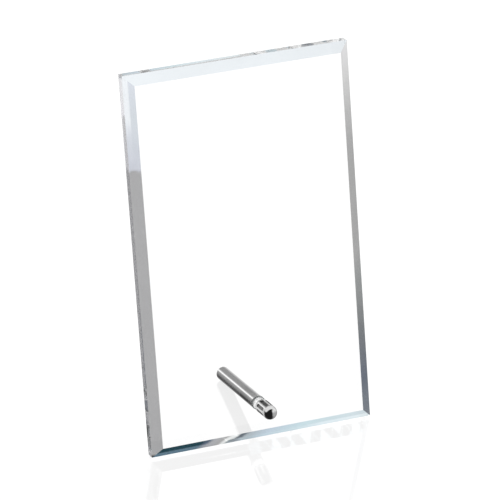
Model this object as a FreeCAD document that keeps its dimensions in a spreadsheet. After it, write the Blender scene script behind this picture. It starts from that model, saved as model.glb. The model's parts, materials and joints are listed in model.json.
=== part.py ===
import FreeCAD, Part
import os
import Sketcher

# A clear glass award: a tall bevelled plaque that leans back on one steel pin.
# The pin goes through a drilled hole low in the middle of the plaque. A fluted cap in
# front and a smooth rod behind are drawn together by a threaded stud inside the hole.
#
# Two frames are used. The plaque frame has its origin at the middle of the plaque's
# lower rear edge, X across, Y to the rear and Z up the glass. The pin frame has its
# origin where the pin's axis leaves the rear face, and Z to the rear along that axis.
# Both lean back together, so that the rear edge and the rod's foot reach the table.

SIZES = [
    # The glass, with its polished front bevel and its fine ground rear edge
    ("plaque_width", 130),
    ("plaque_height", 218),
    ("plaque_thickness", 10),
    ("bevel_width", 5.5),
    ("bevel_depth", 4),
    ("ground_edge", 0.4),
    ("lean_angle", 15),
    # The drilled hole, its plastic bush and the plastic washers at each end
    ("hole_height", 19.2),
    ("hole_diameter", 6.6),
    ("hole_mouth", 0.3),
    ("bush_gap", 0.05),
    ("washer_thickness", 0.5),
    ("washer_gap", 0.1),
    # The stud that joins the cap to the rod
    ("stud_diameter", 4),
    ("stud_in_cap", 6),
    ("stud_in_rod", 10),
    ("stud_point", 0.5),
    ("thread_gap", 0.08),
    ("bore_spare", 1.5),
    # The rod and the cap, turned from the same bar
    ("bar_diameter", 8),
    ("bar_edge", 0.2),
    ("foot_round", 1.2),
    ("cap_length", 13.5),
    ("nose_round", 1.8),
    ("flute_count", 8),
    ("flute_length", 9.8),
    ("flute_width", 1.9),
    ("flute_depth", 0.45),
    ("flute_start", 0.8),
    ("flute_turn", 29),
    ("ring_width", 0.4),
    ("ring_depth", 0.2),
    ("ring_gap", 0.3),
]

PLAQUE_FRAME = (
    "placement(vector(0; Stance.shift; Stance.drop);"
    " rotation(vector(1; 0; 0); -Sizes.lean_angle))"
)
PIN_FRAME = (
    "placement(vector(0; Stance.shift + Sizes.hole_height * sin(Sizes.lean_angle);"
    " Stance.drop + Sizes.hole_height * cos(Sizes.lean_angle));"
    " rotation(vector(1; 0; 0); 270 - Sizes.lean_angle))"
)
# The cap's flutes stand as they do when its thread is tight, turned about the pin.
CAP_FRAME = (
    f"{PIN_FRAME} * placement(vector(0; 0; 0);"
    " rotation(vector(0; 0; 1); Sizes.flute_turn))"
)

# Places along the pin, measured to the rear of the plaque's rear face
FRONT_FACE = "-Sizes.plaque_thickness"
CAP_BACK = "-(Sizes.plaque_thickness + Sizes.washer_thickness)"
CAP_NOSE = f"{CAP_BACK} - Sizes.cap_length"
FLUTE_MIDDLE = f"{CAP_BACK} - Sizes.flute_start - Sizes.flute_length / 2"
RING_MIDDLE = (
    f"{CAP_BACK} - Sizes.flute_start - Sizes.flute_length"
    " - Sizes.ring_gap - Sizes.ring_width / 2"
)


def make_sizes(doc):
    sheet = doc.addObject("Spreadsheet::Sheet", "Sizes")
    for row, (alias, value) in enumerate(SIZES, start=1):
        sheet.set(f"A{row}", alias.replace("_", " "))
        sheet.set(f"B{row}", str(value))
        sheet.setAlias(f"B{row}", alias)
    doc.recompute()


def make_stance(doc):
    """Works out how the leaning plaque and its rod stand on the table."""
    relations = [
        # The ground rear edge touches the table just in front of the sharp corner.
        ("drop", "-Sizes.ground_edge * sin(Sizes.lean_angle)"),
        # The rod is as long as it must be for its rounded foot to touch as well.
        (
            "rod_end",
            "Sizes.foot_round - Sizes.ground_edge"
            " + ((Sizes.hole_height - Sizes.bar_diameter / 2 + Sizes.foot_round)"
            " * cos(Sizes.lean_angle) - Sizes.foot_round) / sin(Sizes.lean_angle)",
        ),
        # The rearmost point is the plaque's top edge or the rod's foot.
        (
            "rear",
            "max((Sizes.plaque_height - Sizes.ground_edge) * sin(Sizes.lean_angle);"
            " (rod_end - Sizes.foot_round) * cos(Sizes.lean_angle) + Sizes.foot_round"
            " + (Sizes.hole_height + Sizes.bar_diameter / 2 - Sizes.foot_round)"
            " * sin(Sizes.lean_angle))",
        ),
        # The foremost point is on the lower side of the cap's rounded nose.
        (
            "front",
            "(Sizes.hole_height - Sizes.bar_diameter / 2 + Sizes.nose_round)"
            " * sin(Sizes.lean_angle) - Sizes.nose_round"
            " - (Sizes.plaque_thickness + Sizes.washer_thickness + Sizes.cap_length"
            " - Sizes.nose_round) * cos(Sizes.lean_angle)",
        ),
        # The whole object is centred, front to back, on the origin.
        ("shift", "-(rear + front) / 2"),
    ]
    stance = doc.addObject("App::VarSet", "Stance")
    for name, relation in relations:
        stance.addProperty("App::PropertyFloat", name, "Stance")
        stance.setExpression(name, relation)
    doc.recompute()


def origin_item(body, role):
    return next(item for item in body.Origin.OriginFeatures if item.Role == role)


def new_body(doc, label, frame):
    body = doc.addObject("PartDesign::Body", label)
    body.Label = label
    body.setExpression("Placement", frame)
    return body


def new_sketch(body, name, role="XY_Plane", **offsets):
    """Makes a sketch on one of the body's own planes, moved by x, y and z offsets."""
    sketch = body.newObject("Sketcher::SketchObject", name)
    sketch.AttachmentSupport = [(origin_item(body, role), "")]
    sketch.MapMode = "FlatFace"
    for axis, relation in offsets.items():
        sketch.setExpression(f"AttachmentOffset.Base.{axis}", relation)
    return sketch


def bind(sketch, name, relation, *constraint):
    """Adds a named dimension to a sketch and ties it to the sizes."""
    index = sketch.addConstraint(Sketcher.Constraint(*constraint))
    sketch.renameConstraint(index, name)
    sketch.setExpression(f"Constraints.{name}", relation)


def draw_circle(sketch, name, diameter):
    """Draws a circle about the sketch's origin."""
    shape = Part.Circle(FreeCAD.Vector(0, 0, 0), FreeCAD.Vector(0, 0, 1), 1)
    circle = sketch.addGeometry(shape, False)
    sketch.addConstraint(Sketcher.Constraint("Coincident", circle, 3, -1, 1))
    bind(sketch, name, diameter, "Diameter", circle, 2)


def draw_rectangle(sketch, width, height):
    """Draws a rectangle about the sketch's origin."""
    corners = [(-1, -1), (1, -1), (1, 1), (-1, 1)]
    points = [FreeCAD.Vector(x, y, 0) for x, y in corners]
    sides = [
        sketch.addGeometry(Part.LineSegment(start, end), False)
        for start, end in zip(points, points[1:] + points[:1])
    ]
    for side, following in zip(sides, sides[1:] + sides[:1]):
        sketch.addConstraint(Sketcher.Constraint("Coincident", side, 2, following, 1))
    for side, direction in zip(sides, ["Horizontal", "Vertical"] * 2):
        sketch.addConstraint(Sketcher.Constraint(direction, side))
    sketch.addConstraint(Sketcher.Constraint("Symmetric", sides[0], 1, sides[2], 1, -1, 1))
    bind(sketch, "width", width, "DistanceX", sides[0], 1, sides[0], 2, 2)
    bind(sketch, "height", height, "DistanceY", sides[1], 1, sides[1], 2, 2)


def draw_slot(sketch, width, length):
    """Draws an upright slot with round ends about the sketch's origin."""
    half_turn = 3.14159265
    up = FreeCAD.Vector(0, 0, 1)
    ends = []
    for height, start in ((2, 0), (-2, half_turn)):
        circle = Part.Circle(FreeCAD.Vector(0, height, 0), up, 1)
        arc = Part.ArcOfCircle(circle, start, start + half_turn)
        ends.append(sketch.addGeometry(arc, False))
    sides = []
    for x in (1, -1):
        line = Part.LineSegment(FreeCAD.Vector(x, -2, 0), FreeCAD.Vector(x, 2, 0))
        sides.append(sketch.addGeometry(line, False))
    top, bottom = ends
    right, left = sides
    for arc, point, side, tip in (
        (top, 1, right, 2),
        (top, 2, left, 2),
        (bottom, 1, left, 1),
        (bottom, 2, right, 1),
    ):
        sketch.addConstraint(Sketcher.Constraint("Tangent", arc, point, side, tip))
    sketch.addConstraint(Sketcher.Constraint("Equal", top, bottom))
    sketch.addConstraint(Sketcher.Constraint("Vertical", right))
    sketch.addConstraint(Sketcher.Constraint("Symmetric", top, 3, bottom, 3, -1, 1))
    bind(sketch, "width", width, "DistanceX", left, 1, right, 1, 2)
    bind(sketch, "centres", f"{length} - {width}", "DistanceY", bottom, 3, top, 3, 4)


def pad(body, name, sketch, length):
    feature = body.newObject("PartDesign::Pad", name)
    feature.Profile = sketch
    feature.setExpression("Length", length)
    body.Document.recompute()
    return feature


def pocket(body, name, sketch, depth, reverse=False):
    """Cuts a pocket and makes sure that it points into the solid."""
    before = body.Shape.Volume
    feature = body.newObject("PartDesign::Pocket", name)
    feature.Profile = sketch
    feature.setExpression("Length", depth)
    feature.Reversed = reverse
    body.Document.recompute()
    if body.Shape.Volume >= before:
        raise RuntimeError(f"{name} cuts nothing")
    return feature


def chamfer(body, name, base, edges, size):
    feature = body.newObject("PartDesign::Chamfer", name)
    feature.Base = (base, edges)
    feature.setExpression("Size", size)
    body.Document.recompute()
    return feature


def fillet(body, name, base, edges, radius):
    feature = body.newObject("PartDesign::Fillet", name)
    feature.Base = (base, edges)
    feature.setExpression("Radius", radius)
    body.Document.recompute()
    return feature


def edges_at(feature, side, curved):
    """Names the straight or the curved edges in the plane at one side of a shape.

    side is a name of the bounding box, such as ZMin.
    """
    place = getattr(feature.Shape.BoundBox, side)
    low, high = side[0] + "Min", side[0] + "Max"
    return [
        f"Edge{number}"
        for number, edge in enumerate(feature.Shape.Edges, start=1)
        if abs(getattr(edge.BoundBox, low) - place) < 1e-4
        and abs(getattr(edge.BoundBox, high) - place) < 1e-4
        and isinstance(edge.Curve, Part.Circle) == curved
    ]


def make_plaque(doc):
    """The plate, bevelled all round in front, with the hole for the pin."""
    body = new_body(doc, "glass_plaque", PLAQUE_FRAME)
    outline = new_sketch(body, "outline", "XZ_Plane", y="Sizes.plaque_height / 2")
    draw_rectangle(outline, "Sizes.plaque_width", "Sizes.plaque_height")
    plate = pad(body, "plate", outline, "Sizes.plaque_thickness")

    bevel = body.newObject("PartDesign::Chamfer", "front_bevel")
    bevel.Base = (plate, edges_at(plate, "YMin", curved=False))
    bevel.ChamferType = "Two distances"
    bevel.FlipDirection = True
    bevel.setExpression("Size", "Sizes.bevel_width")
    bevel.setExpression("Size2", "Sizes.bevel_depth")
    doc.recompute()

    rear_edges = edges_at(bevel, "YMax", curved=False)
    ground = chamfer(body, "ground_rear_edge", bevel, rear_edges, "Sizes.ground_edge")

    hole = new_sketch(body, "hole", "XZ_Plane", y="Sizes.hole_height")
    draw_circle(hole, "diameter", "Sizes.hole_diameter")
    drilled = pocket(body, "drilled_hole", hole, "Sizes.plaque_thickness", reverse=True)
    mouths = edges_at(drilled, "YMin", True) + edges_at(drilled, "YMax", True)
    body.Tip = chamfer(body, "hole_mouths", drilled, mouths, "Sizes.hole_mouth")
    return body


def make_ring(doc, label, start, length, outside, inside):
    """A plain ring on the pin's axis, such as a washer or a bush."""
    body = new_body(doc, label, PIN_FRAME)
    sketch = new_sketch(body, f"{label}_section", z=start)
    draw_circle(sketch, "outside", outside)
    draw_circle(sketch, "inside", inside)
    body.Tip = pad(body, f"{label}_ring", sketch, length)
    return body


def make_bush(doc):
    """The clear plastic sleeve that keeps the steel stud off the glass."""
    return make_ring(
        doc,
        "hole_bush",
        FRONT_FACE,
        "Sizes.plaque_thickness",
        "Sizes.hole_diameter - 2 * Sizes.bush_gap",
        "Sizes.stud_diameter + 2 * Sizes.thread_gap",
    )


def make_washer(doc, label, start):
    """A thin clear washer between the glass and the metal."""
    return make_ring(
        doc,
        label,
        start,
        "Sizes.washer_thickness",
        "Sizes.bar_diameter",
        "Sizes.stud_diameter + 2 * Sizes.washer_gap",
    )


def make_stud(doc):
    """The stud that is fixed in the cap and screws into the rod."""
    body = new_body(doc, "threaded_stud", PIN_FRAME)
    section = new_sketch(body, "stud_section", z=f"{CAP_BACK} - Sizes.stud_in_cap")
    draw_circle(section, "diameter", "Sizes.stud_diameter")
    length = (
        "Sizes.stud_in_cap + Sizes.plaque_thickness"
        " + 2 * Sizes.washer_thickness + Sizes.stud_in_rod"
    )
    rod = pad(body, "stud_bar", section, length)
    ends = edges_at(rod, "ZMin", True) + edges_at(rod, "ZMax", True)
    body.Tip = chamfer(body, "stud_points", rod, ends, "Sizes.stud_point")
    return body


def drill(body, start, depth, to_rear):
    """Drills the blind hole that takes one end of the stud."""
    sketch = new_sketch(body, f"{body.Label}_bore_section", z=start)
    draw_circle(sketch, "diameter", "Sizes.stud_diameter + 2 * Sizes.thread_gap")
    return pocket(body, f"{body.Label}_bore", sketch, depth, reverse=to_rear)


def make_cap(doc):
    """The fluted cap in front, turned by the fingers to free or clamp the plaque."""
    body = new_body(doc, "front_cap", CAP_FRAME)
    section = new_sketch(body, "cap_section", z=CAP_NOSE)
    draw_circle(section, "diameter", "Sizes.bar_diameter")
    bar = pad(body, "cap_bar", section, "Sizes.cap_length")
    nose = fillet(body, "nose", bar, edges_at(bar, "ZMin", True), "Sizes.nose_round")
    back = edges_at(nose, "ZMax", True)
    chamfer(body, "cap_back_edge", nose, back, "Sizes.bar_edge")
    drill(body, CAP_BACK, "Sizes.stud_in_cap", to_rear=False)
    cut_ring(body)
    cut_flutes(body)
    return body


def cut_ring(body):
    """A fine turned ring between the flutes and the nose."""
    before = body.Shape.Volume
    radius = "Sizes.bar_diameter / 2"
    sketch = new_sketch(body, "ring_section", "XZ_Plane", x=radius, y=RING_MIDDLE)
    draw_rectangle(sketch, "2 * Sizes.ring_depth", "Sizes.ring_width")
    groove = body.newObject("PartDesign::Groove", "ring")
    groove.Profile = sketch
    groove.ReferenceAxis = (origin_item(body, "Z_Axis"), [""])
    body.Document.recompute()
    if body.Shape.Volume >= before:
        raise RuntimeError("the ring cuts nothing")


def cut_flutes(body):
    """Round-ended flutes, milled along the cap and equally spaced about it."""
    radius = "Sizes.bar_diameter / 2"
    sketch = new_sketch(body, "flute_outline", "XZ_Plane", y=FLUTE_MIDDLE, z=radius)
    draw_slot(sketch, "Sizes.flute_width", "Sizes.flute_length")
    flute = pocket(body, "flute", sketch, "Sizes.flute_depth")
    flutes = body.newObject("PartDesign::PolarPattern", "flutes")
    flutes.Originals = [flute]
    flutes.Axis = (origin_item(body, "Z_Axis"), [""])
    flutes.Angle = 360
    flutes.setExpression("Occurrences", "Sizes.flute_count")
    body.Tip = flutes
    body.Document.recompute()


def make_rod(doc):
    """The smooth rod behind, whose rounded foot stands on the table."""
    body = new_body(doc, "support_rod", PIN_FRAME)
    section = new_sketch(body, "rod_section", z="Sizes.washer_thickness")
    draw_circle(section, "diameter", "Sizes.bar_diameter")
    bar = pad(body, "rod_bar", section, "Stance.rod_end - Sizes.washer_thickness")
    foot = fillet(body, "foot", bar, edges_at(bar, "ZMax", True), "Sizes.foot_round")
    front = edges_at(foot, "ZMin", True)
    chamfer(body, "rod_front_edge", foot, front, "Sizes.bar_edge")
    depth = "Sizes.stud_in_rod + Sizes.bore_spare"
    body.Tip = drill(body, "Sizes.washer_thickness", depth, to_rear=True)
    return body


def check(doc, bodies):
    """Stops the build if any feature failed or any piece is not one sound solid."""
    for item in doc.Objects:
        if "Invalid" in item.State or "Error" in item.State:
            raise RuntimeError(f"{item.Name} failed: {item.State}")
    for body in bodies:
        shape = body.Shape
        if shape.isNull() or not shape.isValid() or len(shape.Solids) != 1:
            raise RuntimeError(f"{body.Label} is not one valid solid")


def build():
    doc = FreeCAD.newDocument("glass_award")
    make_sizes(doc)
    make_stance(doc)
    bodies = [
        make_plaque(doc),
        make_bush(doc),
        make_washer(doc, "rear_washer", "0"),
        make_washer(doc, "front_washer", CAP_BACK),
        make_stud(doc),
        make_cap(doc),
        make_rod(doc),
    ]
    doc.recompute()
    check(doc, bodies)
    os.makedirs("parts", exist_ok=True)
    for body in bodies:
        body.Shape.exportStep(f"parts/{body.Label}.step")
        print(f"{body.Label}: {body.Shape.Volume:.1f} cubic mm")


build()
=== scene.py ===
import json
import math

import bpy
from mathutils import Matrix, Vector


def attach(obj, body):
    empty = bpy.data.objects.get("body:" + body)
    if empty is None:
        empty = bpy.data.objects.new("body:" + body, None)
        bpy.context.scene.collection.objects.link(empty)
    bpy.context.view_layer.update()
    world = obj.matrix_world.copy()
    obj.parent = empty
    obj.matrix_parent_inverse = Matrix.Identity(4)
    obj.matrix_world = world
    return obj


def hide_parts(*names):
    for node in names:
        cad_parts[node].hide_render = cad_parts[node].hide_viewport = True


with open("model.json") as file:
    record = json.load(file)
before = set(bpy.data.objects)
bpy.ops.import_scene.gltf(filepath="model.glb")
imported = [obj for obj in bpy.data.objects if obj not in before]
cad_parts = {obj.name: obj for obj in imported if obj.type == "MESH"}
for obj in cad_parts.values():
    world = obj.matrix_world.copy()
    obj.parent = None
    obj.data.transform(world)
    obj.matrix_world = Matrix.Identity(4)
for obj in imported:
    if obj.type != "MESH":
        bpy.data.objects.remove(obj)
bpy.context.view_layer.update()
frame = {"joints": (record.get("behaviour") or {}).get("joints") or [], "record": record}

# ---------------------------------------------------------------------------
# The plaque: one plate of clear, low-iron glass. It is cut to size, bevelled
# all round the front on a wheel, polished, and its sharp edges are broken.
# The hole for the pin is drilled from both sides, which leaves its wall ground.

MM = 0.001
HAIR = 0.01 * MM
SAME_WAY = 0.999
PLAQUE_WIDTH = 130 * MM
PLAQUE_HEIGHT = 218 * MM
PLAQUE_THICKNESS = 10 * MM
BEVEL_WIDTH = 5.5 * MM
BEVEL_DEPTH = 4 * MM
POLISHED_ARRIS = 0.12 * MM
GROUND_ARRIS = 0.4 * MM
HOLE_HEIGHT = 19.2 * MM
HOLE_RADIUS = 3.3 * MM
HOLE_MOUTH = 0.3 * MM
ROUND_SIDES = 96

mounts = {mount["name"]: mount for mount in frame["record"]["mounts"]}
front_normal = Vector(mounts["front_panel"]["axis"])
LEAN = math.asin(front_normal.z)
panel_middle = Vector(mounts["front_panel"]["pos_m"])

# The plaque's own frame: X across, Y to the rear and Z up the glass.
lean_back = Matrix.Rotation(-LEAN, 4, "X")
middle_of_front = Vector((0, -PLAQUE_THICKNESS, PLAQUE_HEIGHT / 2))
plaque_origin = panel_middle - lean_back @ middle_of_front
plaque_frame = Matrix.Translation(plaque_origin) @ lean_back


def start(add, name, **options):
    """Adds a primitive by itself and leaves its mesh unselected, back in object mode."""
    bpy.ops.object.select_all(action="DESELECT")
    add(**options)
    piece = bpy.context.object
    piece.name = name
    piece.data.name = name
    bpy.ops.object.mode_set(mode="EDIT")
    bpy.ops.mesh.select_all(action="DESELECT")
    bpy.ops.object.mode_set(mode="OBJECT")
    return piece


def pick(piece, kind, test):
    """Selects the vertices, edges or faces that pass a test and opens edit mode."""
    bpy.ops.object.mode_set(mode="EDIT")
    bpy.ops.mesh.select_mode(type=kind)
    bpy.ops.mesh.select_all(action="DESELECT")
    bpy.ops.object.mode_set(mode="OBJECT")
    mesh = piece.data
    chosen = {"VERT": mesh.vertices, "EDGE": mesh.edges, "FACE": mesh.polygons}[kind]
    for item in chosen:
        item.select = test(mesh, item)
    bpy.ops.object.mode_set(mode="EDIT")


def middle(mesh, item):
    """The middle of an edge or a face."""
    points = [mesh.vertices[index].co for index in item.vertices]
    return sum(points, Vector()) / len(points)


def facing(direction, at=None):
    """A test for the faces that look one way and, if asked, lie at one depth."""
    direction = Vector(direction)

    def test(mesh, face):
        there = at is None or abs(middle(mesh, face).dot(direction) - at) < HAIR
        return face.normal.dot(direction) > SAME_WAY and there

    return test


def done():
    """Leaves edit mode."""
    bpy.ops.object.mode_set(mode="OBJECT")


def settle(piece, place):
    """Puts a finished piece in its place, with that place in its mesh."""
    bpy.ops.object.select_all(action="DESELECT")
    bpy.context.view_layer.objects.active = piece
    piece.select_set(True)
    piece.matrix_world = place @ piece.matrix_world
    bpy.ops.object.transform_apply(location=True, rotation=True, scale=True)


def cut(piece, cutter, operation="DIFFERENCE"):
    """Cuts one piece with another and throws the cutter away."""
    bpy.ops.object.select_all(action="DESELECT")
    bpy.context.view_layer.objects.active = piece
    piece.select_set(True)
    modifier = piece.modifiers.new("cut", "BOOLEAN")
    modifier.operation = operation
    modifier.solver = "EXACT"
    modifier.object = cutter
    bpy.ops.object.modifier_apply(modifier="cut")
    bpy.data.objects.remove(cutter)


def smooth(piece, degrees):
    """Shades a piece smooth, but for the edges sharper than an angle."""
    bpy.ops.object.select_all(action="DESELECT")
    bpy.context.view_layer.objects.active = piece
    piece.select_set(True)
    bpy.ops.object.shade_smooth_by_angle(angle=math.radians(degrees))


# The plate starts as its rear part, up to the foot of the bevel.
plaque = start(
    bpy.ops.mesh.primitive_cube_add,
    "plaque_glass",
    size=1,
    location=(0, (BEVEL_DEPTH - PLAQUE_THICKNESS) / 2, PLAQUE_HEIGHT / 2),
    scale=(PLAQUE_WIDTH, PLAQUE_THICKNESS - BEVEL_DEPTH, PLAQUE_HEIGHT),
)
bpy.ops.object.transform_apply(location=True, rotation=True, scale=True)

pick(plaque, "EDGE", lambda mesh, edge: abs(middle(mesh, edge).y) < HAIR)
bpy.ops.mesh.bevel(offset=GROUND_ARRIS, offset_type="WIDTH", segments=1)
done()

pick(plaque, "FACE", facing((0, -1, 0)))
bpy.ops.mesh.extrude_region_move(TRANSFORM_OT_translate={"value": (0, -BEVEL_DEPTH, 0)})
bpy.ops.transform.resize(
    value=(1 - 2 * BEVEL_WIDTH / PLAQUE_WIDTH, 1, 1 - 2 * BEVEL_WIDTH / PLAQUE_HEIGHT),
    center_override=(0, -PLAQUE_THICKNESS, PLAQUE_HEIGHT / 2),
)
done()


def land_edge(mesh, edge):
    """The outer corners of the plate and the line where the bevel starts."""
    depth = middle(mesh, edge).y
    start_of_bevel = BEVEL_DEPTH - PLAQUE_THICKNESS
    ends = [mesh.vertices[index].co.y for index in edge.vertices]
    run = abs(ends[0] - ends[1])
    corner = run > BEVEL_DEPTH and depth > start_of_bevel
    foot = run < HAIR and abs(depth - start_of_bevel) < HAIR
    return corner or foot


pick(plaque, "EDGE", land_edge)
bpy.ops.mesh.bevel(offset=POLISHED_ARRIS, offset_type="WIDTH", segments=1)
done()

# The drill opens out at both ends, for the small countersinks.
drill = start(
    bpy.ops.mesh.primitive_cylinder_add,
    "drill",
    vertices=ROUND_SIDES,
    radius=HOLE_RADIUS,
    depth=PLAQUE_THICKNESS - 2 * HOLE_MOUTH,
    location=(0, -PLAQUE_THICKNESS / 2, HOLE_HEIGHT),
    rotation=(math.pi / 2, 0, 0),
)
bpy.ops.object.transform_apply(location=True, rotation=True, scale=True)
flare = 1 + 2 * HOLE_MOUTH / HOLE_RADIUS
for way in (-1, 1):
    pick(drill, "FACE", facing((0, way, 0)))
    outwards = (0, way * 2 * HOLE_MOUTH, 0)
    bpy.ops.mesh.extrude_region_move(TRANSFORM_OT_translate={"value": outwards})
    bpy.ops.transform.resize(value=(flare, 1, flare), center_override=(0, 0, HOLE_HEIGHT))
    done()
cut(plaque, drill)
smooth(plaque, 25)
settle(plaque, plaque_frame)


class Wire:
    """A value on its way from one node to another. Sums of wires add Math nodes."""

    def __init__(self, finish, socket):
        self.finish = finish
        self.socket = socket

    def maths(self, operation, *values, clamp=False):
        """Adds one Math node."""
        settings = {"operation": operation, "use_clamp": clamp}
        return self.finish.add("Math", settings, dict(enumerate(values)))

    def __add__(self, other):
        return self.maths("ADD", self, other)

    def __sub__(self, other):
        return self.maths("SUBTRACT", self, other)

    def __mul__(self, other):
        return self.maths("MULTIPLY", self, other)

    def __truediv__(self, other):
        return self.maths("DIVIDE", self, other)

    def __rsub__(self, other):
        return self.maths("SUBTRACT", other, self)

    def __rtruediv__(self, other):
        return self.maths("DIVIDE", other, self)

    __radd__ = __add__
    __rmul__ = __mul__

    def fraction(self):
        return self.maths("FRACT", self)

    def clamped(self):
        """The same value, kept between 0 and 1."""
        return self.maths("ADD", self, 0, clamp=True)


OBJECT_OUTPUT = 3


class Finish:
    """A material, or the studio, built up node by node."""

    def __init__(self, owner):
        owner.use_nodes = True
        self.owner = owner
        self.tree = owner.node_tree
        self.tree.nodes.clear()

    def add(self, kind, settings=None, values=None, output=0):
        """Adds a node with its settings and the values or wires of its sockets."""
        node = self.tree.nodes.new("ShaderNode" + kind)
        for name, setting in (settings or {}).items():
            if name == "stops":
                self.set_stops(node.color_ramp, setting)
            else:
                setattr(node, name, setting)
        for name, value in (values or {}).items():
            if isinstance(value, Wire):
                self.tree.links.new(value.socket, node.inputs[name])
            else:
                node.inputs[name].default_value = value
        return Wire(self, node.outputs[output]) if node.outputs else node

    def set_stops(self, ramp, stops):
        while len(ramp.elements) < len(stops):
            ramp.elements.new(1)
        for element, (place, colour) in zip(ramp.elements, stops):
            element.position = place
            element.color = (*colour, 1)

    def place(self):
        """The place of a point in the piece's own coordinates."""
        return self.add("TexCoord", output=OBJECT_OUTPUT)

    def noise(self, scale, detail=2, at=None):
        """Noise over the piece, with its size in metres."""
        values = {"Vector": at or self.place(), "Scale": 1 / scale, "Detail": detail}
        return self.add("TexNoise", {}, values)

    def bump(self, height, depth):
        """A Bump node for a height from 0 to 1 that stands for a depth in metres."""
        return self.add("Bump", {}, {"Height": height, "Distance": depth, "Strength": 1.0})

    def range(self, value, low, high):
        """Spreads a value from 0 to 1 over the range from low to high."""
        return value * (high - low) + low

    def blend(self, amount, first, second):
        """Mixes two colours, which the Mix node takes on sockets 6 and 7."""
        return self.add("Mix", {"data_type": "RGBA"}, {0: amount, 6: first, 7: second}, 2)


GLASS_IOR = 1.52
HAZE_SIZE = 18 * MM
HAZE_DULLS = 0.985
PATCH_SIZE = 5 * MM
ROW_CHANGE = 0.45
ROW_SHARPNESS = 8


def glass(name, roughness, grain, grain_depth, colour):
    """Clear glass. Its colour is what one surface lets through, squared."""
    finish = Finish(bpy.data.materials.new(name))
    haze = finish.noise(HAZE_SIZE, 3)
    fine = finish.noise(grain, 4)
    surface = finish.add(
        "BsdfPrincipled",
        {},
        {
            "Base Color": colour(finish, haze),
            "Roughness": finish.range(haze, *roughness),
            "IOR": GLASS_IOR,
            "Transmission Weight": 1.0,
            "Normal": finish.bump(fine, grain_depth),
        },
    )
    finish.add("OutputMaterial", {}, {"Surface": surface})
    return finish.owner


def even(clear):
    """A colour that varies only a little, with the haze of the surface."""
    dull = tuple(HAZE_DULLS * part for part in clear)

    def colour(finish, haze):
        return finish.add("ValToRGB", {"stops": [(0.3, dull), (0.7, clear)]}, {"Fac": haze})

    return colour


# Each bevel is painted grey or blue in patches that run along it. This is a painted reflection
# in the glass's colour, standing in for the part of the room the bevel would gather. There is
# one row of patches inside and one row outside.
def painted_bevel_reflection(side, inner, outer, slant=0.0, waver=4 * MM):
    """A painted reflection: a colour that changes along a bevel, given as stops in
    millimetres.

    The slant is how far the patches run along while they cross the bevel, and the
    waver is how ragged their ends are.
    """
    upright = side in ("left", "right")
    first, length = (0, PLAQUE_HEIGHT) if upright else (-PLAQUE_WIDTH / 2, PLAQUE_WIDTH)

    def ramp(finish, row, along):
        stops = [
            ((at * MM - first) / length, tuple(part**2 for part in clear)) for at, clear in row
        ]
        return finish.add("ValToRGB", {"stops": stops}, {"Fac": along})

    def colour(finish, haze):
        local = finish.add(
            "Mapping",
            {"vector_type": "TEXTURE"},
            {"Vector": finish.place(), "Location": plaque_origin, "Rotation": (-LEAN, 0, 0)},
        )
        across = finish.add("SeparateXYZ", {}, {"Vector": local}, 0)
        up = finish.add("SeparateXYZ", {}, {"Vector": local}, 2)
        inwards = {
            "left": (across + PLAQUE_WIDTH / 2) / BEVEL_WIDTH,
            "right": (PLAQUE_WIDTH / 2 - across) / BEVEL_WIDTH,
            "bottom": up / BEVEL_WIDTH,
            "top": (PLAQUE_HEIGHT - up) / BEVEL_WIDTH,
        }[side]
        along = ((up if upright else across) - first) / length
        patches = finish.noise(PATCH_SIZE, 2)
        along = along - inwards * (slant / length) + (patches - 0.5) * (2 * waver / length)
        inside = ((inwards - ROW_CHANGE) * ROW_SHARPNESS + 0.5).clamped()
        rows = (ramp(finish, row, along) for row in (outer, inner))
        mixed = finish.blend(inside, *rows)
        cloud = finish.range(haze, 0.9, 1.1)
        return finish.add("VectorMath", {"operation": "SCALE"}, {0: mixed, "Scale": cloud})

    return colour


# Painted reflection: the stops below, in millimetres along each bevel, paint in the grey and
# blue that the room would give the bevels. The side lands also get a painted reflection, grey
# below 164 mm and white above.
PAINTED_REFLECTION_GREY = (0.38, 0.38, 0.385)
left_painted_reflection = [
    (0, PAINTED_REFLECTION_GREY),
    (164, PAINTED_REFLECTION_GREY),
    (166.5, (0.55, 0.57, 0.63)),
    (195, (0.60, 0.64, 0.68)),
    (218, (0.64, 0.67, 0.73)),
]
left_edge_painted_reflection = [*left_painted_reflection[:3], (185, (0.62, 0.65, 0.70)), (195, (0.78, 0.81, 0.84))]
side_land_painted_reflection = [(0, (0.62, 0.62, 0.63)), (164, (0.62, 0.62, 0.63)), (167, (0.98, 0.98, 1.0))]
right_painted_reflection = [
    (0, (0.18, 0.20, 0.23)),
    (25, (0.12, 0.14, 0.18)),
    (55, (0.18, 0.19, 0.20)),
    (85, (0.30, 0.31, 0.31)),
    (98, (0.37, 0.37, 0.37)),
    (160, (0.38, 0.38, 0.38)),
    (178, (0.47, 0.47, 0.47)),
    (200, (0.62, 0.62, 0.62)),
    (216, (0.72, 0.72, 0.73)),
]
top_painted_reflection = [(-65, (0.79, 0.83, 0.86)), (65, (0.76, 0.80, 0.83))]
bottom_inner_painted_reflection = [
    (-65, (0.01, 0.05, 0.07)),
    (-41, (0.01, 0.05, 0.07)),
    (-37, (0.11, 0.15, 0.21)),
    (-34, (0.41, 0.42, 0.44)),
    (-27, (0.42, 0.42, 0.42)),
    (-24, (0.95, 0.97, 0.97)),
    (-22, (0.90, 0.93, 0.93)),
    (-19, (0.13, 0.16, 0.19)),
    (-16, (0.16, 0.19, 0.22)),
    (-13, (0.45, 0.51, 0.55)),
    (0, (0.53, 0.63, 0.72)),
    (20, (0.59, 0.74, 0.79)),
    (60, (0.66, 0.74, 0.78)),
]
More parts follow.
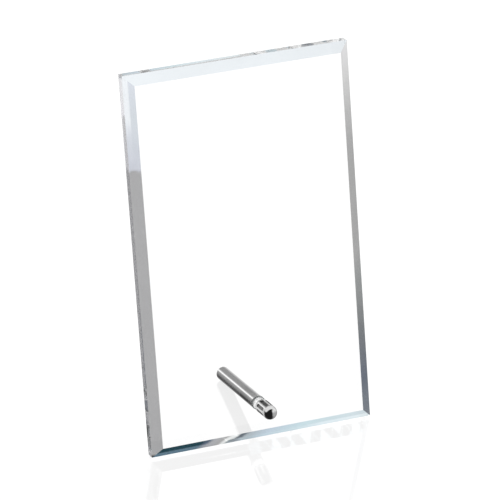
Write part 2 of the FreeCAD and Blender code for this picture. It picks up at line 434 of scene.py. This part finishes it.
bottom_outer_painted_reflection = [
    (-65, (0.11, 0.19, 0.25)),
    (-40, (0.11, 0.19, 0.25)),
    (-34, (0.40, 0.41, 0.44)),
    (-27, (0.42, 0.42, 0.42)),
    (-24.5, (0.80, 0.82, 0.82)),
    (-22, (0.24, 0.29, 0.31)),
    (-17, (0.34, 0.38, 0.42)),
    (-13, (0.44, 0.51, 0.55)),
    (0, (0.54, 0.65, 0.73)),
    (20, (0.62, 0.75, 0.80)),
    (35, (0.74, 0.84, 0.89)),
    (60, (0.76, 0.84, 0.87)),
]
POLISH = ((0.0, 0.002), 25 * MM, 0.0004 * MM)
EDGE_POLISH = ((0.03, 0.06), 4 * MM, 0.0005 * MM)
# The bevels and side lands take painted-reflection colours. The other faces keep the glass's
# own clear colour.
plaque_finishes = [
    glass("polished glass", *POLISH, even((1, 1, 1))),
    glass("ground glass", (0.35, 0.5), 0.15 * MM, 0.004 * MM, even((0.93, 0.95, 0.95))),
    glass("left bevel", *POLISH, painted_bevel_reflection("left", left_painted_reflection, left_edge_painted_reflection)),
    glass("right bevel", *POLISH, painted_bevel_reflection("right", right_painted_reflection, right_painted_reflection)),
    glass("top bevel", *POLISH, painted_bevel_reflection("top", top_painted_reflection, top_painted_reflection)),
    glass(
        "bottom bevel", *POLISH, painted_bevel_reflection("bottom", bottom_inner_painted_reflection, bottom_outer_painted_reflection, 6 * MM, 1 * MM)
    ),
    glass("side lands", *EDGE_POLISH, painted_bevel_reflection("left", side_land_painted_reflection, side_land_painted_reflection)),
    glass("end lands", *EDGE_POLISH, even((1.0, 1.0, 1.0))),
]
plaque.data.materials.clear()
for finish in plaque_finishes:
    plaque.data.materials.append(finish)

STRAIGHT = 0.9
to_plaque = plaque_frame.inverted()
for face in plaque.data.polygons:
    place = to_plaque @ middle(plaque.data, face)
    way = to_plaque.to_3x3() @ face.normal
    by_hole = math.hypot(place.x, place.z - HOLE_HEIGHT) < HOLE_RADIUS + 2 * HOLE_MOUTH
    flat = abs(way.y) > STRAIGHT
    rear_arris = way.y > 0.5
    if (by_hole or rear_arris) and not flat:
        chosen = "ground glass"
    elif abs(way.x) > STRAIGHT:
        chosen = "side lands"
    elif abs(way.z) > STRAIGHT:
        chosen = "end lands"
    elif flat:
        chosen = "polished glass"
    elif abs(way.x) > abs(way.z):
        chosen = "left bevel" if way.x < 0 else "right bevel"
    else:
        chosen = "top bevel" if way.z > 0 else "bottom bevel"
    face.material_index = plaque.data.materials.find(chosen)
plaque.visible_shadow = False
plaque.visible_diffuse = False
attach(plaque, "plaque")
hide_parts("glass_plaque")

# ---------------------------------------------------------------------------
# The bush and the two washers: clear nylon, cut from tube. The bush lines the
# drilled hole, and a washer at each end keeps the steel off the glass.

WASHER_THICKNESS = 0.5 * MM
WASHER_EDGE = 0.06 * MM
BAR_RADIUS = 4 * MM
STUD_RADIUS = 2 * MM
BUSH_GAP = 0.05 * MM
THREAD_GAP = 0.08 * MM
WASHER_GAP = 0.1 * MM
TOUCHING = 0.001 * MM
CLOUD_SIZE = 1.5 * MM
MARK_SIZE = 0.25 * MM
MARK_DEPTH = 0.01 * MM

# The pin's own frame: its origin is on the axis at the front face, with X across,
# Y up the glass and Z out of the front.
turning = next(joint for joint in frame["joints"] if joint["name"] == "cap_turn")
pin_frame = Matrix.Translation(turning["pos_m"]) @ Matrix.Rotation(math.pi / 2 - LEAN, 4, "X")


def tube(name, low, high, outside, inside, edge):
    """A length of tube on the pin's axis, with its four edges broken."""
    piece = start(
        bpy.ops.mesh.primitive_cylinder_add,
        name,
        vertices=ROUND_SIDES,
        radius=outside,
        depth=high - low,
        location=(0, 0, (low + high) / 2),
    )
    bpy.ops.object.transform_apply(location=True, rotation=True, scale=True)
    bore = start(
        bpy.ops.mesh.primitive_cylinder_add,
        "bore",
        vertices=ROUND_SIDES,
        radius=inside,
        depth=2 * (high - low),
        location=(0, 0, (low + high) / 2),
    )
    cut(piece, bore)
    pick(piece, "EDGE", lambda mesh, line: ring_edge(mesh, line, (low, high)))
    bpy.ops.mesh.bevel(offset=edge, offset_type="WIDTH", segments=2)
    done()
    smooth(piece, 40)
    settle(piece, pin_frame)
    return piece


def ring_edge(mesh, line, depths):
    """Tells an edge of a round end from the straight lines that cross the end."""
    ends = [mesh.vertices[index].co for index in line.vertices]
    level = any(all(abs(end.z - depth) < TOUCHING for end in ends) for depth in depths)
    reach = [math.hypot(end.x, end.y) for end in ends]
    return level and abs(reach[0] - reach[1]) < TOUCHING


def nylon():
    """Clear nylon: soft-edged, slightly cloudy, with the fine marks of the cut."""
    finish = Finish(bpy.data.materials.new("clear nylon"))
    cloud = finish.noise(CLOUD_SIZE, 3)
    marks = finish.noise(MARK_SIZE, 3)
    colour = finish.add(
        "ValToRGB",
        {"stops": [(0.3, (0.34, 0.36, 0.36)), (0.7, (0.42, 0.44, 0.44))]},
        {"Fac": cloud},
    )
    surface = finish.add(
        "BsdfPrincipled",
        {},
        {
            "Base Color": colour,
            "Roughness": finish.range(cloud, 0.18, 0.3),
            "IOR": 1.45,
            "Transmission Weight": 0.75,
            "Normal": finish.bump(marks, MARK_DEPTH),
        },
    )
    finish.add("OutputMaterial", {}, {"Surface": surface})
    return finish.owner


clear_nylon = nylon()
bush = tube(
    "bush", -PLAQUE_THICKNESS, 0, HOLE_RADIUS - BUSH_GAP, STUD_RADIUS + THREAD_GAP, WASHER_EDGE
)
front = tube(
    "washer_front", 0, WASHER_THICKNESS, BAR_RADIUS, STUD_RADIUS + WASHER_GAP, WASHER_EDGE
)
rear = tube(
    "washer_rear",
    -PLAQUE_THICKNESS - WASHER_THICKNESS,
    -PLAQUE_THICKNESS,
    BAR_RADIUS,
    STUD_RADIUS + WASHER_GAP,
    WASHER_EDGE,
)
for piece, body, node in (
    (bush, "plaque", "hole_bush"),
    (front, "loose_washer", "front_washer"),
    (rear, "plaque", "rear_washer"),
):
    piece.data.materials.clear()
    piece.data.materials.append(clear_nylon)
    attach(piece, body)
    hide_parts(node)

# ---------------------------------------------------------------------------
# The stud: a length of M4 threaded steel bar with its ends pointed. It is fixed
# in the cap and screws into the rod, through the hole in the glass.

THREAD_PITCH = 0.7 * MM
THREAD_ROOT = 1.6 * MM
STUD_FRONT = 6.5 * MM
STUD_REAR = -20.5 * MM
STUD_POINT = 0.5 * MM
CREST_CUT = 0.02 * MM
THREAD_TURNS = 42
THREAD_STEPS = 40


def stud_blank():
    """The plain bar with pointed ends that the thread is trimmed to."""
    blank = start(
        bpy.ops.mesh.primitive_cylinder_add,
        "stud_blank",
        vertices=ROUND_SIDES,
        radius=STUD_RADIUS - CREST_CUT,
        depth=STUD_FRONT - STUD_REAR,
        location=(0, 0, (STUD_FRONT + STUD_REAR) / 2),
    )
    bpy.ops.object.transform_apply(location=True, rotation=True, scale=True)
    pick(blank, "EDGE", lambda mesh, line: ring_edge(mesh, line, (STUD_FRONT, STUD_REAR)))
    bpy.ops.mesh.bevel(offset=STUD_POINT, offset_type="OFFSET", segments=1)
    done()
    return blank


# The thread is swept from one tooth of its profile.
stud = start(
    bpy.ops.mesh.primitive_plane_add,
    "stud_thread",
    size=THREAD_PITCH,
    location=(0, 0, STUD_REAR - THREAD_PITCH),
)
bpy.ops.object.transform_apply(location=True, rotation=True, scale=True)
profile = [
    (THREAD_ROOT, 0.0),
    (THREAD_ROOT, 0.12),
    (STUD_RADIUS, 0.45),
    (STUD_RADIUS, 0.57),
    (THREAD_ROOT, 0.9),
    (THREAD_ROOT, 1.0),
]
bpy.ops.object.mode_set(mode="EDIT")
bpy.ops.mesh.select_mode(type="VERT")
bpy.ops.mesh.select_all(action="SELECT")
bpy.ops.mesh.merge(type="CENTER")
bpy.ops.transform.translate(value=(THREAD_ROOT, 0, 0))
last = profile[0]
for radius, share in profile[1:]:
    step = (radius - last[0], 0, (share - last[1]) * THREAD_PITCH)
    bpy.ops.mesh.extrude_vertices_move(TRANSFORM_OT_translate={"value": step})
    last = (radius, share)
done()
sweep = stud.modifiers.new("sweep", "SCREW")
sweep.axis = "Z"
sweep.screw_offset = THREAD_PITCH
sweep.iterations = THREAD_TURNS
sweep.steps = THREAD_STEPS
sweep.render_steps = THREAD_STEPS
sweep.use_merge_vertices = True
bpy.ops.object.modifier_apply(modifier="sweep")
bpy.ops.object.mode_set(mode="EDIT")
bpy.ops.mesh.select_all(action="SELECT")
bpy.ops.mesh.remove_doubles(threshold=TOUCHING)
bpy.ops.mesh.fill_holes(sides=0)
bpy.ops.mesh.normals_make_consistent(inside=False)
done()
cut(stud, stud_blank(), "INTERSECT")
smooth(stud, 35)
settle(stud, pin_frame)

WEAR_SIZE = 2.5 * MM


def steel(name, tone, roughness, ring_scale, ring_depth):
    """Turned steel, with fine rings about the pin's axis."""
    finish = Finish(bpy.data.materials.new(name))
    turned = finish.add(
        "Mapping",
        {"vector_type": "TEXTURE"},
        {
            "Vector": finish.place(),
            "Location": turning["pos_m"],
            "Rotation": (math.pi / 2 - LEAN, 0, 0),
        },
    )
    rings = finish.add(
        "Mapping", {"vector_type": "POINT"}, {"Vector": turned, "Scale": (0.04, 0.04, 1)}
    )
    lines = finish.noise(ring_scale, 4, rings)
    wear = finish.noise(WEAR_SIZE, 3, turned)
    grain = lines * 0.6 + wear * 0.4
    dull = tuple(0.9 * part for part in tone)
    colour = finish.add("ValToRGB", {"stops": [(0.3, dull), (0.7, tone)]}, {"Fac": grain})
    surface = finish.add(
        "BsdfPrincipled",
        {},
        {
            "Base Color": colour,
            "Metallic": 1.0,
            "Roughness": finish.range(grain, *roughness),
            "Normal": finish.bump(lines, ring_depth),
        },
    )
    finish.add("OutputMaterial", {}, {"Surface": surface})
    return finish.owner


plain_steel = steel("plain steel", (0.55, 0.55, 0.56), (0.25, 0.45), 0.4 * MM, 0.003 * MM)
stud.data.materials.clear()
stud.data.materials.append(plain_steel)
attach(stud, "cap")
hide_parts("threaded_stud")

# ---------------------------------------------------------------------------
# The front cap: polished stainless bar, turned with a round nose and a fine ring,
# and milled with eight round-ended flutes for the fingers.

BAR_SIDES = 160
CAP_LENGTH = 13.5 * MM
NOSE_ROUND = 1.8 * MM
DOME_STEP = 0.55 * MM
DOME_RISES = (0.10 * MM, 0.07 * MM, 0.04 * MM)
BAR_EDGE = 0.2 * MM
LINE_GAP = 0.1 * MM
FLUTE_COUNT = 8
FLUTE_LENGTH = 9.8 * MM
FLUTE_WIDTH = 1.9 * MM
FLUTE_DEPTH = 0.45 * MM
FLUTE_CUTTER_DEPTH = 2 * MM
FLUTE_START = 0.8 * MM
FLUTE_TURN = -29
SUNK = 0.03 * MM
RING_WIDTH = 0.4 * MM
RING_DEPTH = 0.2 * MM
RING_GAP = 0.3 * MM
STUD_IN_CAP = 6 * MM


def bar(name, low, high, nose, nose_at, drilled):
    """A turned bar with one rounded end, one broken edge and a bore in that end."""
    piece = start(
        bpy.ops.mesh.primitive_cylinder_add,
        name,
        vertices=BAR_SIDES,
        radius=BAR_RADIUS,
        depth=high - low,
        location=(0, 0, (low + high) / 2),
    )
    bpy.ops.object.transform_apply(location=True, rotation=True, scale=True)
    other = low if nose_at == high else high
    pick(piece, "EDGE", lambda mesh, line: ring_edge(mesh, line, (nose_at,)))
    bpy.ops.mesh.bevel(offset=nose, offset_type="OFFSET", segments=12)
    done()
    outwards = 1 if other > nose_at else -1
    pick(piece, "FACE", facing((0, 0, outwards), outwards * other))
    bpy.ops.mesh.inset(thickness=BAR_RADIUS - STUD_RADIUS - THREAD_GAP, depth=0)
    bpy.ops.mesh.extrude_region_move(
        TRANSFORM_OT_translate={"value": (0, 0, -outwards * drilled)}
    )
    done()

    def outer_rim(mesh, line):
        beyond_bore = middle(mesh, line).xy.length > (BAR_RADIUS + STUD_RADIUS) / 2
        return ring_edge(mesh, line, (other,)) and beyond_bore

    pick(piece, "EDGE", outer_rim)
    bpy.ops.mesh.bevel(offset=BAR_EDGE, offset_type="OFFSET", segments=3)
    done()
    # A line round the bar just inside each end keeps its long sides shaded straight.
    inside_nose = nose_at + outwards * (nose + LINE_GAP)
    inside_rim = other - outwards * (BAR_EDGE + LINE_GAP)
    for depth in (inside_nose, inside_rim):
        pick(piece, "FACE", lambda mesh, face: True)
        bpy.ops.mesh.bisect(plane_co=(0, 0, depth), plane_no=(0, 0, 1), threshold=TOUCHING)
        done()
    return piece


cap_back = WASHER_THICKNESS
cap_nose = WASHER_THICKNESS + CAP_LENGTH
cap = bar("cap", cap_back, cap_nose, NOSE_ROUND, cap_nose, STUD_IN_CAP)

# The end of the nose is faced off very slightly domed.
pick(cap, "FACE", facing((0, 0, 1), cap_nose))
for rise in DOME_RISES:
    bpy.ops.mesh.inset(thickness=DOME_STEP, depth=0)
    bpy.ops.transform.translate(value=(0, 0, rise))
done()

ring_low = cap_back + FLUTE_START + FLUTE_LENGTH + RING_GAP
ring_cutter = start(
    bpy.ops.mesh.primitive_cylinder_add,
    "ring_cutter",
    vertices=BAR_SIDES,
    radius=BAR_RADIUS + 1 * MM,
    depth=RING_WIDTH,
    location=(0, 0, ring_low + RING_WIDTH / 2),
)
core = start(
    bpy.ops.mesh.primitive_cylinder_add,
    "ring_core",
    vertices=BAR_SIDES,
    radius=BAR_RADIUS - RING_DEPTH,
    depth=RING_WIDTH * 2,
    location=(0, 0, ring_low + RING_WIDTH / 2),
)
cut(ring_cutter, core)
cut(cap, ring_cutter)


def flute_corner(mesh, line):
    """The four edges of a flute cutter that point at the bar."""
    first, second = (mesh.vertices[index].co for index in line.vertices)
    return abs(first.y - second.y) > FLUTE_CUTTER_DEPTH / 2


for count in range(FLUTE_COUNT):
    around = math.radians(FLUTE_TURN + 360 / FLUTE_COUNT * count)
    cutter = start(
        bpy.ops.mesh.primitive_cube_add,
        "flute_cutter",
        size=1,
        location=(0, BAR_RADIUS - FLUTE_DEPTH + FLUTE_CUTTER_DEPTH / 2, 0),
        scale=(FLUTE_WIDTH, FLUTE_CUTTER_DEPTH, FLUTE_LENGTH),
    )
    bpy.ops.object.transform_apply(location=True, rotation=True, scale=True)
    pick(cutter, "EDGE", flute_corner)
    bpy.ops.mesh.bevel(offset=FLUTE_WIDTH / 2 - TOUCHING, offset_type="OFFSET", segments=12)
    done()
    flute_middle = Vector((0, 0, cap_back + FLUTE_START + FLUTE_LENGTH / 2))
    cutter.matrix_world = Matrix.Translation(flute_middle) @ Matrix.Rotation(around, 4, "Z")
    cut(cap, cutter)
smooth(cap, 30)
# Painted dark reflection: the faces in the flutes take the second, near-black steel in place
# of the dark room they would reflect. The bar there is the same steel.
for face in cap.data.polygons:
    place = middle(cap.data, face)
    beside = cap_back + FLUTE_START < place.z < cap_back + FLUTE_START + FLUTE_LENGTH
    in_dark_flute = BAR_RADIUS - 2 * FLUTE_DEPTH < place.xy.length < BAR_RADIUS - SUNK
    face.material_index = 1 if beside and in_dark_flute else 0
settle(cap, pin_frame)

polished_steel = steel(
    "polished steel", (0.64, 0.64, 0.64), (0.04, 0.09), 0.3 * MM, 0.0003 * MM
)
# Near-black steel for the flutes: a painted dark reflection, not a darker metal.
dark_reflection_flute_steel = steel("flute steel, painted dark reflection", (0.09, 0.09, 0.09), (0.2, 0.3), 0.2 * MM, 0.002 * MM)
cap.data.materials.append(polished_steel)
cap.data.materials.append(dark_reflection_flute_steel)
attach(cap, "cap")
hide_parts("front_cap")

# ---------------------------------------------------------------------------
# The support rod: the same polished bar, plain, with a rounded foot. It is tapped
# for the stud and is drawn up against the rear washer.

ROD_FRONT = -PLAQUE_THICKNESS - WASHER_THICKNESS
FOOT_ROUND = 1.2 * MM
ROD_BORE = 11.5 * MM

# The foot stands on the table, so its lowest point is on the rounded edge below.
rod_axis = Vector(turning["pos_m"])
foot_drop = (BAR_RADIUS - FOOT_ROUND) * math.cos(LEAN) + FOOT_ROUND
ROD_END = -(rod_axis.z - foot_drop) / math.sin(LEAN) - FOOT_ROUND
rod = bar("rod", ROD_END, ROD_FRONT, FOOT_ROUND, ROD_END, ROD_BORE)
smooth(rod, 30)
settle(rod, pin_frame)
rod.data.materials.append(polished_steel)
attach(rod, "plaque")
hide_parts("support_rod")

# ---------------------------------------------------------------------------
# The table: a sheet of glossy white acrylic, lit from below, that runs out of sight.
# It carries the plaque's lower rear edge and the foot of the rod.

TABLE_SIZE = 40
SPECK_SIZE = 40 * MM

bpy.ops.object.select_all(action="DESELECT")
bpy.ops.mesh.primitive_plane_add(size=TABLE_SIZE, location=(0, 0, 0))
table = bpy.context.object
table.name = "table"
white = Finish(bpy.data.materials.new("white acrylic"))
speck = white.noise(SPECK_SIZE, 2)
surface = white.add(
    "BsdfPrincipled",
    {},
    {
        "Base Color": white.add(
            "ValToRGB",
            {"stops": [(0, (0.05, 0.05, 0.05)), (1, (0.06, 0.06, 0.06))]},
            {"Fac": speck},
        ),
        "Roughness": 0.01,
        "IOR": 2.2,
        "Emission Color": (1, 1, 1, 1),
        "Emission Strength": 0.85,
    },
)
white.add("OutputMaterial", {}, {"Surface": surface})
table.data.materials.append(white.owner)
table.visible_glossy = False

# ---------------------------------------------------------------------------
# The camera stands to the left of the award and above it, with a long lens. It looks
# at about the middle of the plaque and is rolled a little.

AZIMUTH = math.radians(-21.89)
ELEVATION = math.radians(31.69)
ROLL = math.radians(1.77)
DISTANCE = 2.1898
aim = Vector((0.00015, 0, 0.10745))
towards = Vector(
    (
        math.sin(AZIMUTH) * math.cos(ELEVATION),
        -math.cos(AZIMUTH) * math.cos(ELEVATION),
        math.sin(ELEVATION),
    )
)
right = Vector((math.cos(AZIMUTH), math.sin(AZIMUTH), 0))
up = towards.cross(right)
level_right = right * math.cos(ROLL) + up * math.sin(ROLL)
level_up = up * math.cos(ROLL) - right * math.sin(ROLL)
turn = Matrix((level_right, level_up, towards)).transposed().to_4x4()
bpy.ops.object.camera_add()
camera = bpy.context.object
camera.matrix_world = Matrix.Translation(aim + towards * DISTANCE) @ turn
camera.data.lens = 288
camera.data.sensor_width = 36
bpy.context.scene.camera = camera
bpy.context.scene.view_settings.view_transform = "Standard"

# Light goes back and forth inside the plate many times before it leaves an edge.
bpy.context.scene.cycles.max_bounces = 32
bpy.context.scene.cycles.glossy_bounces = 28
bpy.context.scene.cycles.transmission_bounces = 28

# ---------------------------------------------------------------------------
# The studio: a white room for the camera. The steel and the glass reflect a white
# ceiling, strip lights that run along the pin and a dark room round the camera.

studio = Finish(bpy.data.worlds.new("studio"))
bpy.context.scene.world = studio.owner
look = studio.add("TexCoord", output=0)


def share_along(direction):
    """How far a line of sight points in one direction, from -1 to 1."""
    return studio.add("VectorMath", {"operation": "DOT_PRODUCT"}, {0: look, 1: direction}, 1)


def fade(value, low, high):
    """Goes from 0 to 1 while a value goes from low to high."""
    return ((value - low) / (high - low)).clamped()


def neutral(bright):
    """A light with no colour, of a given brightness."""
    return (bright, bright, bright, 1)


pin_across, pin_up, pin_out = (pin_frame.to_3x3().col[axis] for axis in range(3))
camera_turn = math.atan2(towards.dot(pin_up), towards.dot(pin_across))
round_pin = studio.add(
    "Math",
    {"operation": "ARCTAN2"},
    {0: share_along(pin_up), 1: share_along(pin_across)},
)
from_camera = ((camera_turn - round_pin) / math.tau + 0.5).fraction()
STRIPS = [
    (-180, 0.60),
    (-135, 0.30),
    (-104, 0.05),
    (-82, 0.10),
    (-60, 0.30),
    (-32, 0.50),
    (-18, 0.60),
    (-9, 1.70),
    (5, 1.70),
    (14, 0.70),
    (30, 0.42),
    (50, 0.44),
    (85, 0.42),
    (105, 0.60),
    (135, 1.10),
    (180, 1.00),
]
strips = studio.add(
    "ValToRGB",
    {"stops": [(turn / 360 + 0.5, neutral(bright)[:3]) for turn, bright in STRIPS]},
    {"Fac": from_camera},
)
height = share_along((0, 0, 1))
forwards = share_along(pin_out)
to_right = share_along((1, 0, 0))
behind = studio.blend(fade(forwards, -0.82, -0.72), strips, neutral(0.16))
window = studio.blend(fade(height, -0.15, 0.1), neutral(0.6), neutral(1.3))
before = studio.blend(fade(to_right, 0.36, 0.46), neutral(0.02), window)
walls = studio.blend(fade(forwards, -0.2, 0.2), behind, before)
reflected = studio.blend(fade(height, 0.22, 0.36), walls, neutral(1.15))
to_camera = studio.add("LightPath", output=0)
shown = studio.blend(to_camera, reflected, neutral(1))
light = studio.add("Background", {}, {"Color": shown, "Strength": 1.0})
studio.add("OutputWorld", {}, {"Surface": light})
